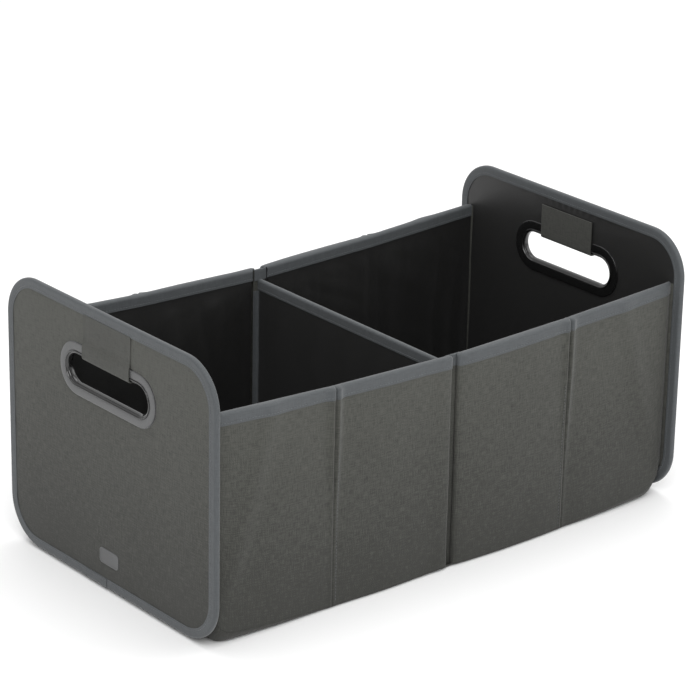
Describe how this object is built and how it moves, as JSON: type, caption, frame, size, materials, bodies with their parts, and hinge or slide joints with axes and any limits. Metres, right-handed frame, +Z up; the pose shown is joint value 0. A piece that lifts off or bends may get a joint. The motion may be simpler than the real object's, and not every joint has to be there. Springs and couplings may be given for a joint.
{
  "type": "collapsible storage crate",
  "caption": "Open fabric crate with stiff end panels, a middle divider and walls that fold inward so that it collapses flat; hand hole in each end",
  "frame": {"origin": "on the ground under the middle of the crate", "axes": "+X along the length from the left end panel to the right one, +Y to the back wall, +Z up"},
  "size_m": [0.5894, 0.33, 0.28],
  "materials": {
    "outer_cloth": "coated woven polyester, dark olive grey, matt",
    "lining_cloth": "smooth black lining cloth with a soft sheen",
    "binding_tape": "ribbed blue-grey grosgrain tape",
    "strap_cloth": "the outer cloth, doubled and stitched",
    "loop_tape": "brushed loop tape",
    "floor_cloth": "coated cloth under the base boards",
    "stiffener_board": "black twin-wall polypropylene board",
    "grommet_plastic": "satin mid-grey moulding with a black glossy throat"
  },
  "bodies": {
    "root": {"divider_board": "stiffener_board", "divider_left_lining": "lining_cloth", "divider_right_lining": "lining_cloth", "divider_binding": "binding_tape", "front_centre_strip": "outer_cloth", "back_centre_strip": "outer_cloth", "left_floor_cloth": "floor_cloth", "right_floor_cloth": "floor_cloth"},
    "left_front_inner": {"left_front_inner_board": "stiffener_board", "left_front_inner_cover": "outer_cloth", "left_front_inner_lining": "lining_cloth", "left_front_inner_binding": "binding_tape"},
    "left_front_outer": {"left_front_outer_board": "stiffener_board", "left_front_outer_cover": "outer_cloth", "left_front_outer_lining": "lining_cloth", "left_front_outer_binding": "binding_tape"},
    "left_back_inner": {"left_back_inner_board": "stiffener_board", "left_back_inner_cover": "outer_cloth", "left_back_inner_lining": "lining_cloth", "left_back_inner_binding": "binding_tape"},
    "left_back_outer": {"left_back_outer_board": "stiffener_board", "left_back_outer_cover": "outer_cloth", "left_back_outer_lining": "lining_cloth", "left_back_outer_binding": "binding_tape"},
    "left_end": {"left_end_board": "stiffener_board", "left_end_cover": "outer_cloth", "left_end_lining": "lining_cloth", "left_end_binding": "binding_tape", "left_grommet_outer": "grommet_plastic", "left_grommet_inner": "grommet_plastic", "left_strap_wrap": "strap_cloth", "left_loop_patch": "loop_tape"},
    "left_strap": {"left_strap_tail": "strap_cloth"},
    "left_base": {"left_base_board": "stiffener_board"},
    "right_front_inner": {"right_front_inner_board": "stiffener_board", "right_front_inner_cover": "outer_cloth", "right_front_inner_lining": "lining_cloth", "right_front_inner_binding": "binding_tape"},
    "right_front_outer": {"right_front_outer_board": "stiffener_board", "right_front_outer_cover": "outer_cloth", "right_front_outer_lining": "lining_cloth", "right_front_outer_binding": "binding_tape"},
    "right_back_inner": {"right_back_inner_board": "stiffener_board", "right_back_inner_cover": "outer_cloth", "right_back_inner_lining": "lining_cloth", "right_back_inner_binding": "binding_tape"},
    "right_back_outer": {"right_back_outer_board": "stiffener_board", "right_back_outer_cover": "outer_cloth", "right_back_outer_lining": "lining_cloth", "right_back_outer_binding": "binding_tape"},
    "right_end": {"right_end_board": "stiffener_board", "right_end_cover": "outer_cloth", "right_end_lining": "lining_cloth", "right_end_binding": "binding_tape", "right_grommet_outer": "grommet_plastic", "right_grommet_inner": "grommet_plastic", "right_strap_wrap": "strap_cloth", "right_loop_patch": "loop_tape"},
    "right_strap": {"right_strap_tail": "strap_cloth"},
    "right_base": {"right_base_board": "stiffener_board"}
  },
  "joints": [
    {"name": "left_fold", "type": "hinge", "parent": "root", "child": "left_front_inner", "pos_m": [-0.009, -0.1478, 0], "axis": [0, 0, -1], "range_deg": [0, 84]},
    {"name": "left_front_outer_fold", "type": "hinge", "parent": "left_front_inner", "child": "left_front_outer", "pos_m": [-0.1466, -0.1535, 0], "axis": [0, 0, 1], "range_deg": [0, 168]},
    {"name": "left_end_hinge", "type": "hinge", "parent": "left_front_outer", "child": "left_end", "pos_m": [-0.2842, -0.1478, 0], "axis": [0, 0, -1], "range_deg": [0, 84]},
    {"name": "left_back_inner_fold", "type": "hinge", "parent": "root", "child": "left_back_inner", "pos_m": [-0.009, 0.1478, 0], "axis": [0, 0, 1], "range_deg": [0, 84]},
    {"name": "left_back_outer_fold", "type": "hinge", "parent": "left_back_inner", "child": "left_back_outer", "pos_m": [-0.1466, 0.1535, 0], "axis": [0, 0, -1], "range_deg": [0, 168]},
    {"name": "left_base_lift", "type": "hinge", "parent": "root", "child": "left_base", "pos_m": [-0.0033, 0, 0.0028], "axis": [0, 1, 0], "range_deg": [0, 90]},
    {"name": "left_strap_open", "type": "hinge", "parent": "left_end", "child": "left_strap", "pos_m": [-0.2843, 0, 0.227], "axis": [0, 1, 0], "range_deg": [0, 175]},
    {"name": "right_fold", "type": "hinge", "parent": "root", "child": "right_front_inner", "pos_m": [0.009, -0.1478, 0], "axis": [0, 0, 1], "range_deg": [0, 84]},
    {"name": "right_front_outer_fold", "type": "hinge", "parent": "right_front_inner", "child": "right_front_outer", "pos_m": [0.1466, -0.1535, 0], "axis": [0, 0, -1], "range_deg": [0, 168]},
    {"name": "right_end_hinge", "type": "hinge", "parent": "right_front_outer", "child": "right_end", "pos_m": [0.2842, -0.1478, 0], "axis": [0, 0, 1], "range_deg": [0, 84]},
    {"name": "right_back_inner_fold", "type": "hinge", "parent": "root", "child": "right_back_inner", "pos_m": [0.009, 0.1478, 0], "axis": [0, 0, -1], "range_deg": [0, 84]},
    {"name": "right_back_outer_fold", "type": "hinge", "parent": "right_back_inner", "child": "right_back_outer", "pos_m": [0.1466, 0.1535, 0], "axis": [0, 0, 1], "range_deg": [0, 168]},
    {"name": "right_base_lift", "type": "hinge", "parent": "root", "child": "right_base", "pos_m": [0.0033, 0, 0.0028], "axis": [0, -1, 0], "range_deg": [0, 90]},
    {"name": "right_strap_open", "type": "hinge", "parent": "right_end", "child": "right_strap", "pos_m": [0.2843, 0, 0.227], "axis": [0, -1, 0], "range_deg": [0, 175]}
  ],
  "couplings": [
    {"joint": "left_front_outer_fold", "follows": "left_fold", "ratio": 2},
    {"joint": "left_end_hinge", "follows": "left_fold", "ratio": 1},
    {"joint": "left_back_inner_fold", "follows": "left_fold", "ratio": 1},
    {"joint": "left_back_outer_fold", "follows": "left_fold", "ratio": 2},
    {"joint": "right_front_outer_fold", "follows": "right_fold", "ratio": 2},
    {"joint": "right_end_hinge", "follows": "right_fold", "ratio": 1},
    {"joint": "right_back_inner_fold", "follows": "right_fold", "ratio": 1},
    {"joint": "right_back_outer_fold", "follows": "right_fold", "ratio": 2}
  ]
}
